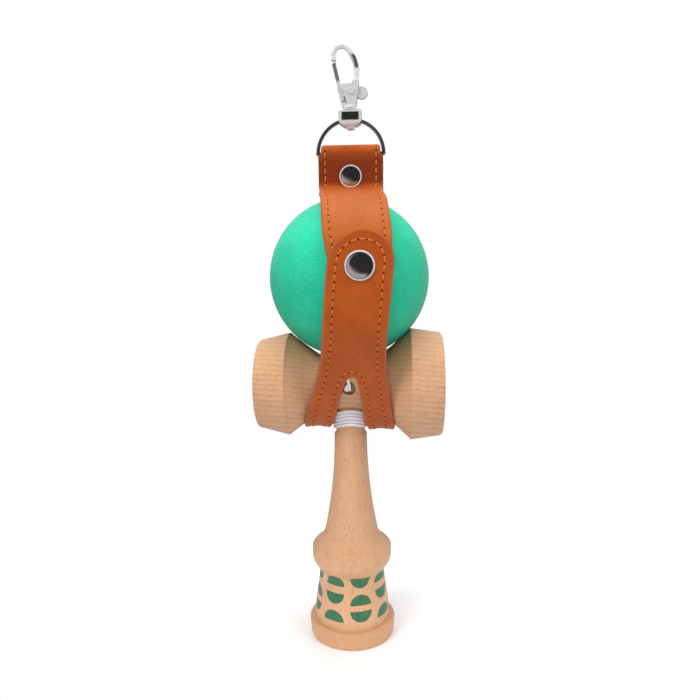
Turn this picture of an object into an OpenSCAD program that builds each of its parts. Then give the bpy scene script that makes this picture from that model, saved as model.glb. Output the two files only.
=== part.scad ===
// Wooden kendama in a snap-closed leather holster with a swivel hook.
// Millimetres. Origin at the middle of the foot, on the floor. +Z up, -Y is the front, +X the big cup.

/* [Ken] */
// Radius of the foot on the floor
foot_r = 16.6; // [15.5:0.1:17.5]
// How far the foot swells above the floor
foot_swell = 0.5; // [0.2:0.1:1]
// Height of the foot up to its ledge
foot_h = 7; // [5:0.1:8]
// Width of the ledge on top of the foot
ledge_w = 2; // [1:0.1:3]
// Height of the neck between body and grip
neck_z = 26.2; // [24:0.1:28]
// Radius of the neck
neck_r = 12.95; // [12:0.05:14]
// Radius of the bulge at the grip's lower end
bulge_r = 15.75; // [15:0.05:17]
// Height of the bulge's lower edge
bulge_z = 32.6; // [31:0.1:34]
// Height of the bulge's upright band
bulge_h = 4; // [3:0.1:5]
// Radius of the stem under the winding and in the sarado
stem_r = 5.6; // [5.2:0.1:6]
// Step from the stem out to the grip's top
grip_step = 0.75; // [0.4:0.05:1]
// How far the stem reaches below the sarado's axis before the grip starts
stem_len = 19.8; // [18:0.1:21]
// Radius of the grip's long hollow curve
grip_curve_r = 185; // [160:1:220]
// Radius of the cove above the bulge
cove_r = 8.8; // [7:0.1:11]
// Mouth radius of the base cup
base_cup_r = 14; // [13:0.1:14.8]
// Depth of the base cup
base_cup_depth = 6; // [5:0.1:8]
// Distance of the spike's tip below the ball's top
spike_cover = 22; // [20:0.1:25]
// Radius at the spike's tip
spike_tip_r = 2.6; // [2:0.1:3.2]

/* [Sarado] */
// Height of the sarado's axis above the floor
sarado_z = 101.3; // [97:0.1:106]
// Length of the sarado from rim to rim
sarado_len = 70; // [66:0.5:76]
// Radius of the barrel in the middle
barrel_r = 10.4; // [10:0.1:11]
// Half length of the straight barrel
barrel_half = 9; // [8:0.1:10]
// Radius of the big cup's shoulder
big_shoulder_r = 21.4; // [20.5:0.1:22.5]
// Radius of the big cup's rim
big_rim_r = 19.8; // [19:0.1:20.5]
// Mouth radius of the big cup
big_cup_r = 17.4; // [16:0.1:18]
// Depth of the big cup
big_cup_depth = 9.5; // [8:0.1:11]
// Radius of the small cup's shoulder
small_shoulder_r = 19.8; // [19:0.1:21]
// Radius of the small cup's rim
small_rim_r = 17.2; // [16.5:0.1:18.5]
// Mouth radius of the small cup
small_cup_r = 14.9; // [14:0.1:15.6]
// Depth of the small cup
small_cup_depth = 8; // [7:0.1:9]
// Distance of the shoulders from the sarado's middle
shoulder_x = 23.3; // [22:0.1:25]
// Rounding of the rims
rim_round = 1.1; // [0.6:0.1:1.4]
// Radius of the string hole in the barrel's front
string_hole_r = 2.55; // [2:0.05:2.8]

/* [Ball] */
// Radius of the ball
ball_r = 30; // [29:0.1:31]
// Radius of the spike hole
spike_hole_r = 9.2; // [8.5:0.1:10]
// Mouth radius of the spike hole
spike_mouth_r = 11.5; // [11:0.1:12.5]
// Depth of the bevel at the spike hole's mouth
mouth_bevel = 5; // [3:0.1:7]
// Radius of the stop bead inside the ball
bead_r = 3.75; // [3:0.05:4.2]
// Radius of the string hole at the ball's top
top_hole_r = 1.5; // [1.2:0.1:2]
// Mouth radius of the string hole's countersink
top_mouth_r = 3.2; // [2.5:0.1:4]

/* [String] */
// Diameter of the string
string_d = 1.15; // [1:0.05:1.3]
// Turns of string wound round the stem
turns = 4; // [3:1:5]
// Gap between neighbouring turns
turn_gap = 0.42; // [0.42:0.01:0.5]
// How far the winding's front rides up under the barrel
front_rise = 1.9; // [0:0.1:2]
// Radius of the knot in the sarado's front
knot_r = 1.5; // [1.2:0.1:1.8]

/* [Leather] */
// Thickness of the leather's face ply
face_t = 1.1; // [0.8:0.1:1.3]
// Thickness of the leather's lining ply
lining_t = 1.1; // [0.8:0.1:1.3]
// Room for the string between the barrel and the saddle
saddle_gap = 3.8; // [3.2:0.1:4.6]
// Half width of the front flap
flap_half = 11.3; // [10.5:0.1:12]
// Half width of the two legs together at the bottom fold
leg_half = 16.5; // [15.5:0.1:17]
// Height of the fork's tip above the sarado's axis
fork_rise = 6.7; // [5:0.1:8]
// Radius of the fork's round tip
fork_tip_r = 2.2; // [2:0.1:3]
// Half width of the fork where the legs fold under
fork_half = 4.7; // [4:0.1:6]
// Half width of the tab under the flap
tab_half = 11.2; // [10.5:0.1:12]
// Half width of the lid and its loop
lid_half = 12; // [11.5:0.1:13]
// Height of the snap above the ball's centre
snap_rise = 3.7; // [2:0.1:6]
// Distance of the flap's round end above the snap
flap_end_rise = 1.6; // [0:0.1:3]
// Sideways lean of the flap at the snap
snap_x = 5.6; // [0:0.1:6.5]
// Sideways shift of the loop
loop_x = 1; // [0:0.1:2]
// Length of the tab below the snap
tab_drop = 6; // [5:0.1:7]
// Rounding of the tab's lower corners
tab_round = 5; // [2:0.1:8]
// Gap between the ball and the tab
tab_gap = 0.4; // [0.3:0.05:0.8]
// Gap between the tab and the flap, filled by the snap
flap_gap = 2.2; // [2.1:0.05:2.8]
// Gap between the ball and the back strap, for the string
back_gap = 2.4; // [2.2:0.1:3]
// Distance along the strap from the saddle to the flap's fold
flap_fold = 5; // [3:0.1:7]

/* [Snap and rivet] */
// Radius of the snap's cap
cap_r = 4.95; // [4.5:0.05:5.4]
// Height of the snap's cap
cap_h = 1.8; // [1.4:0.1:2.4]
// Radius of the snap's socket
socket_r = 4.2; // [4:0.1:4.6]
// Radius of the socket's hole
socket_hole_r = 2.9; // [2.6:0.05:3.2]
// Radius of the stud's head
stud_r = 1.6; // [1.4:0.05:1.7]
// Radius of the stud's flange
flange_r = 3.6; // [3:0.1:3.9]
// Radius of the hollow shanks through the leather
shank_r = 1.3; // [1.1:0.05:1.5]
// Radius of the rivet's cap
rivet_r = 4.15; // [3.8:0.05:4.5]
// Radius of the rivet's back cap
rivet_back_r = 2.6; // [2.2:0.05:2.8]
// Height of the rivet's cap
rivet_h = 1.5; // [1.2:0.1:2]
// Distance of the rivet above the tab's crease
rivet_rise = 4.6; // [4.4:0.1:5.5]
// Distance of the ring's bar above the rivet
bar_rise = 8.5; // [8:0.1:10]

/* [Ring] */
// Radius of the D-ring at the middle of its wire
ring_r = 12.2; // [11.6:0.1:13]
// Diameter of the D-ring's wire
wire_d = 1.4; // [1.2:0.1:1.8]

/* [Hook] */
// Lean of the hook to the left
hook_lean = 3; // [0:0.5:8]
// Width of the swivel eye
eye_w = 8.4; // [7.5:0.1:9]
// Radius of the swivel eye's hole
eye_hole_r = 1.8; // [1.75:0.05:1.9]
// Wall of the swivel eye round its hole
eye_wall = 0.75; // [0.6:0.05:1]
// Height of the swivel eye above the ring's wire
eye_top = 2.9; // [2.7:0.05:3.2]
// Radius of the swivel post
post_r = 1.2; // [1:0.05:1.3]
// Radius of the collar on the swivel post
collar_r = 2.7; // [2.4:0.05:3]
// Radius of the hook's round stock
stock_r = 1.05; // [0.9:0.05:1.15]
// Thickness of each side plate
plate_t = 1; // [0.8:0.05:1.2]
// Thickness of the trigger
trigger_t = 1.4; // [1.2:0.05:1.6]
// Width of the trigger's gate bar
gate_w = 1.4; // [1.2:0.05:1.6]
// Radius of the trigger's thumb lobe
lobe_r = 2.25; // [2:0.05:2.4]
// Radius of the trigger's pin
pin_r = 0.8; // [0.6:0.05:0.9]
// Radius of the pin's heads
pin_head_r = 1.35; // [1.2:0.05:1.5]

/* [Clearances] */
// Gap between pieces of different bodies
gap = 0.3; // [0.2:0.05:0.4]
// Gap of a press or close fit
fit = 0.05; // [0.03:0.01:0.08]

/* [Hidden] */
$fn = 72;
far = 200;
strap_t = face_t + lining_t;
saddle_r = barrel_r + saddle_gap;

// Heights that follow from the sizes above
grip_top_z = sarado_z - stem_len;
// The ball rests on the big cup's shoulder, or on the barrel where that comes first
shoulder_rest = big_shoulder_r + sqrt(max(0, pow(ball_r + gap, 2) - pow(shoulder_x, 2)));
ball_z = sarado_z + max(shoulder_rest, barrel_r + ball_r + gap);
spike_tip_z = ball_z + ball_r - spike_cover;
bead_z = spike_tip_z + 2 * gap + bead_r;
hole_end_z = bead_z + bead_r + gap;

// Radii of the strap's inner faces round the ball's centre
tab_r = ball_r + tab_gap;
flap_r = tab_r + strap_t + flap_gap;
back_r = ball_r + back_gap;
// Half of the slit between the two layers that the rivet clamps
slit = 0.1;
crease_y = -(slit + strap_t);
crease_z = ball_z + sqrt(pow(tab_r + strap_t, 2) - pow(crease_y, 2));
snap_z = ball_z + snap_rise;
snap_tilt = asin(snap_rise / (tab_r + strap_t));
rivet_z = crease_z + rivet_rise;
bar_z = rivet_z + bar_rise;
loop_r = wire_d / 2 + gap;
clamp_top_z = rivet_z + rivet_r + 0.4;
wire_top_z = bar_z + ring_r;

// The strap's plies, from its inner face outwards
lining = [0, lining_t];
face = [lining_t, strap_t];

// Colours
beech = "#d9b48c";
sea_green = "#2fae86";
tan_leather = "#a9511f";
tan_lining = "#b9713f";
nickel = "#c9ccd0";
white_string = "#eeeaf2";

// Route of the string from the knot over the barrel to the winding
lead_route = [
    [0.3, -12, 101], [0.3, -12.2, 103], [-0.6, -12, 105.4], [-2.6, -10.8, 108.2], [-5.2, -8.4, 110.8],
    [-7.2, -5, 112.4], [-7.8, -1, 112.9], [-7.8, 3, 112.5], [-7.2, 7, 110.6], [-6, 10.2, 106.5],
    [-4.8, 11.6, 101.5], [-4.2, 11.2, 97], [-4.3, 9.8, 94], [-4.4, 8.2, 91.8], [-3.2, 6.8, 90.5]
];
// Route of the string from the winding up the ball's back to its top hole
run_route = [
    [3, 6.6, 83.9], [4.2, 8.2, 84.8], [3.8, 9.8, 87], [2.4, 11, 90.6], [0.8, 11.9, 95], [0, 13.4, 99.5],
    [0, 16.8, 106], [0, 20.3, 113], [0, 23.8, 120], [0, 27.1, 127], [0, 29.8, 133.5], [0, 31.1, 141],
    [0, 30.6, 148], [0, 28.3, 155.2], [0, 24, 162], [0, 18.5, 167.3], [0, 12, 171], [0, 6.5, 172.8],
    [0, 3, 173.3], [0, 0.9, 172.6], [0, 0, 171.2]
];
run_end = [0, 0, 170.4];
tail_top_z = run_end[2] - gap;
winding_top_z = sarado_z - barrel_r - string_d / 2 - gap / 2;
winding_r = stem_r + string_d / 2 + fit;
pitch = string_d + turn_gap;
winding_end_z = winding_top_z - turns * pitch;

// Points of an arc from angle a to angle b
function arc(c, r, a, b, n) = [for (i = [0:n]) let (w = a + (b - a) * i / n) [c[0] + r * cos(w), c[1] + r * sin(w)]];

// A smooth curve through chosen points, with n steps between neighbours
function curve_at(p, q, r, s, u) =
    0.5 * ((2 * q) + (r - p) * u + (2 * p - 5 * q + 4 * r - s) * u * u + (3 * q - p - 3 * r + s) * u * u * u);
function smooth(pts, n) = let (k = len(pts) - 1) concat(
    [for (i = [0:k - 1], j = [0:n - 1])
        curve_at(i == 0 ? 2 * pts[0] - pts[1] : pts[i - 1], pts[i], pts[i + 1],
                 i == k - 1 ? 2 * pts[k] - pts[k - 1] : pts[i + 2], j / n)],
    [pts[k]]
);

// A round tube along a path, with its rings carried along without twist
function unit(v) = v / norm(v);
function headings(p) = [for (i = [0:len(p) - 1]) unit(p[min(i + 1, len(p) - 1)] - p[max(i - 1, 0)])];
function square_to(v, t) = unit(v - (v * t) * t);
module tube(path, d, sides) {
    t = headings(path);
    start = abs(t[0][2]) > 0.9 ? [1, 0, 0] : [0, 0, 1];
    side = [for (i = 0, v = square_to(start, t[0]); i < len(t); i = i + 1, v = i < len(t) ? square_to(v, t[i]) : v) v];
    points = [for (i = [0:len(path) - 1], j = [0:sides - 1])
        path[i] + d / 2 * (cos(360 * j / sides) * side[i] + sin(360 * j / sides) * cross(t[i], side[i]))];
    last = (len(path) - 1) * sides;
    walls = [for (i = [0:len(path) - 2], j = [0:sides - 1]) let (
        a = i * sides + j,
        b = i * sides + (j + 1) % sides
    ) each [[a, a + sides, b + sides], [a, b + sides, b]]];
    ends = [for (j = [1:sides - 2]) each [[0, j, j + 1], [last, last + j + 1, last + j]]];
    polyhedron(points, concat(walls, ends));
}

// Turned profiles
function grip_r(z) = stem_r + grip_step + grip_curve_r - sqrt(pow(grip_curve_r, 2) - pow(grip_top_z - z, 2));
cove_top_z = bulge_z + bulge_h + 6.8;
cove_top_slope = asin((grip_top_z - cove_top_z) / grip_curve_r);
cove_c = [grip_r(cove_top_z) + cove_r * cos(cove_top_slope), cove_top_z + cove_r * sin(cove_top_slope)];
cove_reach = acos((cove_c[1] - bulge_z - bulge_h - 0.9) / cove_r);
ken_profile = concat(
    [[0, 0], [foot_r - 0.9, 0], [foot_r - 0.25, 0.25]],
    [[foot_r, 0.9], [foot_r + foot_swell, foot_h - 1.4]],
    arc([foot_r + foot_swell - 1.2, foot_h - 1.2], 1.2, 10, 90, 5),
    smooth([
        [foot_r + foot_swell - ledge_w - 0.1, foot_h + 0.1],
        [neck_r + 1.6, foot_h + 5.5],
        [neck_r + 0.55, neck_z - 6],
        [neck_r, neck_z],
        [neck_r + 1.3, neck_z + 2.6],
        [bulge_r - 0.4, bulge_z - 1.9],
        [bulge_r, bulge_z]
    ], 4),
    arc([bulge_r - 0.6, bulge_z + bulge_h - 0.6], 0.6, 0, 80, 3),
    arc(cove_c, cove_r, 270 - cove_reach, 180 + cove_top_slope, 7),
    [for (i = [1:10]) let (z = cove_top_z + (grip_top_z - cove_top_z) * i / 10) [grip_r(z), z]],
    [[stem_r, grip_top_z + 2 * grip_step], [stem_r, sarado_z + barrel_r + gap]],
    smooth([
        [stem_r - 0.3, sarado_z + barrel_r + 0.8],
        [(stem_r + spike_tip_r) / 2 + 0.5, (sarado_z + barrel_r + spike_tip_z) / 2],
        [spike_tip_r + 0.1, spike_tip_z - spike_tip_r]
    ], 4),
    arc([0, spike_tip_z - spike_tip_r], spike_tip_r, 5, 90, 6)
);

// Radius of the ball-shaped cutter for a cup
function dish_r(mouth, depth) = (mouth * mouth + depth * depth) / (2 * depth);

module ken() {
    color(beech) difference() {
        rotate_extrude() polygon(ken_profile);
        translate([0, 0, base_cup_depth - dish_r(base_cup_r, base_cup_depth)])
            sphere(dish_r(base_cup_r, base_cup_depth));
        translate([0, 0, sarado_z]) rotate([90, 0, 0]) cylinder(r = string_d / 2 + gap, h = far);
    }
}

// Half of the sarado's turned profile, from the barrel to one rim
function sarado_half(shoulder, rim) = concat(
    smooth([
        [barrel_r, 0],
        [barrel_r, barrel_half],
        [barrel_r + 2.1, barrel_half + 4.5],
        [shoulder - 0.5, shoulder_x - 0.6]
    ], 4),
    arc([shoulder - 0.7, shoulder_x + 0.1], 0.7, -50, 15, 3),
    arc([rim - rim_round, sarado_len / 2 - rim_round], rim_round, 8, 90, 5),
    [[0, sarado_len / 2], [0, 0]]
);
module cup_half(shoulder, rim, mouth, depth) {
    difference() {
        rotate_extrude() polygon(sarado_half(shoulder, rim));
        translate([0, 0, sarado_len / 2 - depth + dish_r(mouth, depth)]) sphere(dish_r(mouth, depth));
    }
}
module sarado() {
    color(beech) difference() {
        translate([0, 0, sarado_z]) {
            rotate([0, 90, 0]) cup_half(big_shoulder_r, big_rim_r, big_cup_r, big_cup_depth);
            rotate([0, -90, 0]) cup_half(small_shoulder_r, small_rim_r, small_cup_r, small_cup_depth);
        }
        translate([0, 0, sarado_z - far / 2]) cylinder(r = stem_r + fit, h = far);
        translate([0, 0, sarado_z]) rotate([90, 0, 0]) cylinder(r = string_hole_r, h = far);
    }
}

module tama() {
    mouth_z = ball_z - sqrt(pow(ball_r, 2) - pow(spike_mouth_r, 2));
    countersink = top_mouth_r - top_hole_r;
    color(sea_green) translate([0, 0, ball_z]) difference() {
        sphere(ball_r);
        translate([0, 0, -far]) cylinder(r = spike_hole_r, h = far + hole_end_z - ball_z);
        translate([0, 0, mouth_z - ball_z]) cylinder(r1 = spike_mouth_r, r2 = spike_hole_r, h = mouth_bevel);
        cylinder(r = top_hole_r, h = far);
        translate([0, 0, ball_r - countersink]) cylinder(r1 = top_hole_r, r2 = top_mouth_r + gap, h = countersink + gap);
    }
}
module tama_bead() {
    color(beech) translate([0, 0, bead_z]) difference() {
        sphere(bead_r);
        cylinder(r = string_d / 2 + fit, h = far, center = true);
    }
}

module string_knot() {
    color(white_string) translate([0, 0, sarado_z]) rotate([90, 0, 0]) {
        translate([-0.3, 0, barrel_r + 0.3]) sphere(knot_r);
        translate([0, 0, stem_r / 2]) cylinder(d = string_d, h = barrel_r - stem_r / 2);
    }
}
winding = concat(
    [[-string_d, winding_r, winding_top_z]],
    [for (i = [0:24 * turns]) let (w = 90 - 15 * i)
        [winding_r * cos(w), winding_r * sin(w), winding_top_z - pitch * i / 24 + front_rise * pow(max(0, -sin(w)), 2)]],
    [[string_d, winding_r, winding_end_z]]
);
least_gap = min([for (i = [0:2:len(winding) - 1], j = [i + 18:len(winding) - 1]) norm(winding[i] - winding[j])]) - string_d;
echo("least gap of the winding to itself, mm", least_gap);
module string_lead() {
    color(white_string) tube(smooth(concat(lead_route, [winding[0]]), 2), string_d, 8);
}
module string_winding() {
    color(white_string) tube(winding, string_d, 6);
}
module string_run() {
    route = concat([winding[len(winding) - 1]], run_route, [run_end]);
    color(white_string) tube(smooth(route, 2), string_d, 8);
}
module string_tail() {
    color(white_string) translate([0, 0, bead_z]) cylinder(d = string_d, h = tail_top_z - bead_z);
}

// Stations along a strap: [y, z, outward y, outward z] on its inner face
function bend(cz, r, a, b, n) =
    [for (i = [0:n]) let (w = a + (b - a) * i / n) [r * cos(w), cz + r * sin(w), cos(w), sin(w)]];
function lean_of(r) = asin((r - saddle_r) / (ball_z - sarado_z));
function ply_point(s, d) = [s[0] + d * s[2], s[1] + d * s[3]];
module ply(stations, d) {
    inner = [for (s = stations) ply_point(s, d[0])];
    outer = [for (i = [len(stations) - 1:-1:0]) ply_point(stations[i], d[1])];
    rotate([90, 0, 90]) linear_extrude(2 * leg_half + 20, center = true) polygon(concat(inner, outer));
}
front_lean = lean_of(flap_r);
back_lean = lean_of(back_r);
// A station on the straight front stretch, so far from the saddle
function front_station(s) = [
    -saddle_r * cos(front_lean) - s * sin(front_lean),
    sarado_z - saddle_r * sin(front_lean) + s * cos(front_lean),
    -cos(front_lean),
    -sin(front_lean)
];
strap_stations = concat(
    [front_station(flap_fold - gap / 2)],
    bend(sarado_z, saddle_r, 180 + front_lean, 360 - back_lean, 24),
    bend(ball_z, back_r, -back_lean, -gap / 2 / back_r * 57.3, 6)
);
flap_stations = concat(
    [front_station(flap_fold + gap / 2)],
    bend(ball_z, flap_r, 180 + front_lean, 140, 16)
);
tab_stations = bend(ball_z, tab_r, 90.6, 180 + asin((tab_drop - snap_rise + 2) / tab_r), 24);
lid_corner = [slit, ball_z + sqrt(pow(back_r, 2) - slit * slit), 1, 1];
lid_stations = concat(
    bend(ball_z, back_r, gap / 2 / back_r * 57.3, 86, 20),
    [lid_corner, [slit, clamp_top_z, 1, 0]],
    bend(bar_z, loop_r, -5, 185, 16),
    [[-slit, clamp_top_z, -1, 0], [-slit, crease_z + gap, -1, 0]]
);

// Outlines seen from the front
module seen_from_front(y0, y1) {
    translate([0, y1, 0]) rotate([90, 0, 0]) linear_extrude(y1 - y0) children();
}
lean_z = sarado_z - 13;
flap_turn = atan(snap_x / (snap_z - lean_z));
back_turn = atan(loop_x / (ball_z - lean_z));
tab_turn = atan((snap_x - loop_x) / (crease_z - snap_z));
module turned(z, x, angle) {
    translate([x, z]) rotate(angle) translate([0, -z]) children();
}
// The forked strap: two legs that widen downwards, with the round tip of the fork between them
function mirrored(pts) = concat(pts, [for (i = [len(pts) - 1:-1:0]) [-pts[i][0], pts[i][1]]]);
function leg_edge(top) = smooth([
    top, [flap_half, sarado_z + 16], [flap_half + 1.9, sarado_z + 3.6],
    [leg_half, sarado_z - 13], [leg_half + 0.5, sarado_z - 20]
], 5);
module fork() {
    tip_z = sarado_z + fork_rise - fork_tip_r;
    foot_half = winding_r + string_d / 2 + gap;
    polygon(mirrored(concat(
        [[foot_half, 0], [foot_half, sarado_z - 14], [fork_half, sarado_z - 12.6]],
        arc([0, tip_z], fork_tip_r, 0, 84, 6)
    )));
}
module flap_outline() {
    turned(lean_z, 0, -flap_turn) difference() {
        polygon(mirrored(concat(arc([0, snap_z + flap_end_rise], flap_half, 87, 0, 12), leg_edge([flap_half, snap_z - 2]))));
        fork();
    }
}
module back_outline() {
    turned(lean_z, 0, -back_turn) difference() {
        polygon(mirrored(leg_edge([lid_half, ball_z + 1])));
        fork();
    }
}
module strap_solid(d) {
    intersection() {
        ply(strap_stations, d);
        union() {
            seen_from_front(-far, 0) flap_outline();
            seen_from_front(0, far) back_outline();
        }
    }
}
// The strap rides on the sarado's cones, so its lining is relieved there
module strap_face() {
    color(tan_leather) strap_solid(face);
}
module strap_lining() {
    color(tan_lining) difference() {
        strap_solid(lining);
        for (side = [0, 180]) rotate([0, 0, side]) translate([barrel_half, 0, sarado_z])
            rotate([0, 90, 0]) cylinder(r1 = barrel_r + 2 * fit, r2 = big_shoulder_r, h = shoulder_x - barrel_half);
    }
}
module on_snap_axis() {
    translate([snap_x, 0, ball_z]) rotate([90 - snap_tilt, 0, 0]) children();
}
module flap_solid(d) {
    difference() {
        intersection() {
            ply(flap_stations, d);
            seen_from_front(-far, 0) flap_outline();
        }
        on_snap_axis() cylinder(r = shank_r + fit, h = far);
    }
}
module flap_face() {
    color(tan_leather) flap_solid(face);
}
module flap_lining() {
    color(tan_lining) flap_solid(lining);
}
module tab_solid(d) {
    difference() {
        intersection() {
            ply(tab_stations, d);
            seen_from_front(-far, 0) turned(crease_z, loop_x, tab_turn) polygon(mirrored(concat(
                [[tab_half, crease_z + 2]],
                arc([tab_half - tab_round, snap_z - tab_drop + tab_round], tab_round, 0, -90, 6)
            )));
        }
        on_snap_axis() {
            cylinder(r = shank_r + fit, h = far);
            cylinder(r = flange_r + fit, h = tab_r + post_flange_t + fit);
        }
    }
}
module tab_face() {
    color(tan_leather) tab_solid(face);
}
module tab_lining() {
    color(tan_lining) tab_solid(lining);
}
neck_half = sqrt(pow(ring_r, 2) - pow(loop_r + strap_t, 2)) - wire_d / 2 - gap;
neck_z0 = bar_z - wire_d / 2 - 2 * gap;
module lid_solid(d) {
    difference() {
        intersection() {
            ply(lid_stations, d);
            seen_from_front(-far, far) translate([loop_x, 0]) {
                translate([-lid_half, 0]) square([2 * lid_half, neck_z0]);
                translate([-neck_half, neck_z0 - 1]) square([2 * neck_half, far]);
            }
        }
        translate([loop_x, 0, rivet_z]) rotate([90, 0, 0]) cylinder(r = shank_r + fit, h = far, center = true);
    }
}
module lid_face() {
    color(tan_leather) lid_solid(face);
}
module lid_lining() {
    color(tan_lining) lid_solid(lining);
}

// Snap: cap and socket clamp the flap, stud and post clamp the tab; heights run along the snap's axis
post_flange_t = 0.5;
stud_flange_t = 0.4;
tab_top = tab_r + strap_t;
flap_top = flap_r + strap_t;
socket_top = sqrt(pow(flap_r, 2) - pow(socket_r, 2)) - fit;
socket_t = 0.9;
stud_top = socket_top - 0.2;
module domed_cap(r, h, rim) {
    rotate_extrude() polygon(concat(
        [[0, 0], [r - 0.3, 0]],
        arc([r - rim / 2, rim / 2], rim / 2, -60, 60, 6),
        smooth([[r - rim, rim + 0.05], [r * 0.6, h * 0.82], [r * 0.25, h * 0.98], [0, h]], 4)
    ));
}
module snap_cap() {
    color(nickel) on_snap_axis() {
        translate([0, 0, flap_top + fit]) domed_cap(cap_r, cap_h, 0.8);
        translate([0, 0, flap_r - fit]) cylinder(r = shank_r, h = strap_t + 3 * fit);
    }
}
module snap_socket() {
    color(nickel) on_snap_axis() rotate_extrude() polygon([
        [socket_hole_r, socket_top - socket_t], [socket_r - 0.6, socket_top - socket_t],
        [socket_r, socket_top - socket_t + 0.5], [socket_r, socket_top], [socket_hole_r, socket_top]
    ]);
}
module snap_stud() {
    color(nickel) on_snap_axis() rotate_extrude() polygon(concat(
        [[0, tab_top + fit], [flange_r, tab_top + fit], [flange_r, tab_top + stud_flange_t - 0.1]],
        [[flange_r - 0.3, tab_top + stud_flange_t], [stud_r - 0.3, tab_top + stud_flange_t]],
        arc([stud_r - 0.5, stud_top - 0.5], 0.5, -40, 90, 5),
        [[0, stud_top]]
    ));
}
module snap_post() {
    color(nickel) on_snap_axis() {
        translate([0, 0, tab_r]) cylinder(r = flange_r, h = post_flange_t);
        translate([0, 0, tab_r]) cylinder(r = shank_r, h = strap_t);
    }
}
module rivet_cap() {
    color(nickel) translate([loop_x, -slit - strap_t - fit, rivet_z]) rotate([90, 0, 0]) {
        domed_cap(rivet_r, rivet_h, 0.8);
        translate([0, 0, -strap_t]) cylinder(r = shank_r - 0.3, h = strap_t + fit);
    }
}
module rivet_post() {
    color(nickel) translate([loop_x, slit + strap_t + fit, rivet_z]) rotate([-90, 0, 0]) {
        domed_cap(rivet_back_r, rivet_h * 0.7, 0.6);
        translate([0, 0, -strap_t]) cylinder(r = shank_r, h = strap_t + fit);
    }
}

module d_ring() {
    color(nickel) translate([loop_x, 0, bar_z]) {
        rotate([90, 0, 0]) rotate_extrude(angle = 180) translate([ring_r, 0]) circle(d = wire_d, $fn = 32);
        rotate([0, 90, 0]) cylinder(d = wire_d, h = 2 * ring_r, center = true);
        for (side = [-1, 1]) translate([side * ring_r, 0, 0]) sphere(d = wire_d);
    }
}

// Hook: its own frame has its origin in the ring's wire and +Z along the swivel's axis
module on_hook() {
    translate([loop_x, 0, wire_top_z]) rotate([0, -hook_lean, 0]) children();
}
module sideways(h) {
    rotate([90, 0, 0]) linear_extrude(h, center = true) children();
}
eye_drop = 0.4;
eye_r = eye_hole_r + eye_wall;
collar_z = eye_top + gap;
slot_half = trigger_t / 2 + gap * 0.6;
plate_out = slot_half + plate_t;
web_z = collar_z + 2.4;
pivot = [1, 9.6];
gate_top = [-4.9, 20.1];
gate_foot = [-2.5, 6.8];
gate_reach = norm(gate_top - pivot);
curl_c = [-1.8, 22.95];
curl_r = 3;
spine_r = 12.3;
spine_c = [-8.95, 17];
// The hook's tip ends just outside the circle that the gate's end sweeps
tip_z = pivot[1] + sqrt(pow(gate_reach + gap, 2) - pow(pivot[0] - curl_c[0] + curl_r - stock_r, 2));
spine_turn = atan((curl_c[1] - spine_c[1]) / (curl_c[0] - spine_c[0]));
module swivel_eye() {
    color(nickel) on_hook() difference() {
        union() {
            intersection() {
                rotate([90, 0, 90]) linear_extrude(eye_w, center = true) {
                    translate([0, -eye_drop]) circle(eye_r);
                    translate([-eye_r, -eye_drop]) square([2 * eye_r, eye_top + eye_drop]);
                }
                sideways(far) polygon([
                    [-eye_w / 2 + 0.3, eye_top], [-eye_w / 2, eye_top - 0.3], [-eye_w / 2, -eye_drop - 0.6],
                    [-eye_w / 4, -eye_drop - eye_r], [eye_w / 4, -eye_drop - eye_r],
                    [eye_w / 2, -eye_drop - 0.6], [eye_w / 2, eye_top - 0.3], [eye_w / 2 - 0.3, eye_top]
                ]);
            }
            translate([0, 0, -eye_drop - eye_r - 0.7]) cylinder(r1 = 1.2, r2 = 1.9, h = 0.9);
        }
        translate([0, 0, -eye_drop]) rotate([0, 90, 0]) cylinder(r = eye_hole_r, h = far, center = true);
        translate([0, 0, eye_hole_r]) cylinder(r = post_r + fit, h = far);
    }
}
plate_right = [[2.3, collar_z + 1], [3.3, 9], [3.95, 13.2]];
module back_plate_outline() {
    polygon(concat(plate_right, [[1.9, 13.6], [1.2, 12.4], [-4.1, 12.1], [-4.3, 11.5], [-2.7, collar_z + 1]]));
}
module front_plate_outline() {
    polygon(concat(plate_right, [[1.9, 13.6], [1.2, 12.4], [-2.6, 12.3], [-0.9, web_z + 0.4], [-0.9, collar_z + 1]]));
}
module stock_arc(c, r, stock, a, b) {
    translate([c[0], 0, c[1]]) rotate([90, 0, 0]) rotate([0, 0, a]) rotate_extrude(angle = b - a)
        translate([r, 0]) circle(stock, $fn = 32);
}
module hook_body() {
    color(nickel) on_hook() difference() {
        union() {
            translate([0, 0, eye_hole_r + 0.2]) cylinder(r = post_r, h = collar_z - eye_hole_r);
            translate([0, 0, collar_z]) rotate_extrude() polygon([
                [0, 0], [collar_r - 0.6, 0], [collar_r, 0.5], [collar_r, 0.9], [collar_r - 0.7, 1.6], [0, 1.6]
            ]);
            translate([0, (slot_half + plate_out) / 2, 0]) sideways(plate_t) back_plate_outline();
            translate([0, -(slot_half + plate_out) / 2, 0]) sideways(plate_t) front_plate_outline();
            sideways(2 * plate_out) {
                polygon([[-2.6, collar_z + 1], [2.3, collar_z + 1], [2.6, web_z], [-2.4, web_z]]);
                polygon([[1.3, 12], [3.75, 12], [3.95, 13.2], [1.9, 13.6]]);
            }
            stock_arc(spine_c, spine_r, stock_r, -21, spine_turn);
            stock_arc(curl_c, curl_r, stock_r - fit, spine_turn - 6, 180);
            translate([curl_c[0] - curl_r, 0, tip_z]) cylinder(r = stock_r - 2 * fit, h = curl_c[1] + gap - tip_z);
        }
        sideways(far) translate(pivot) circle(pin_r + fit);
    }
}
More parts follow.
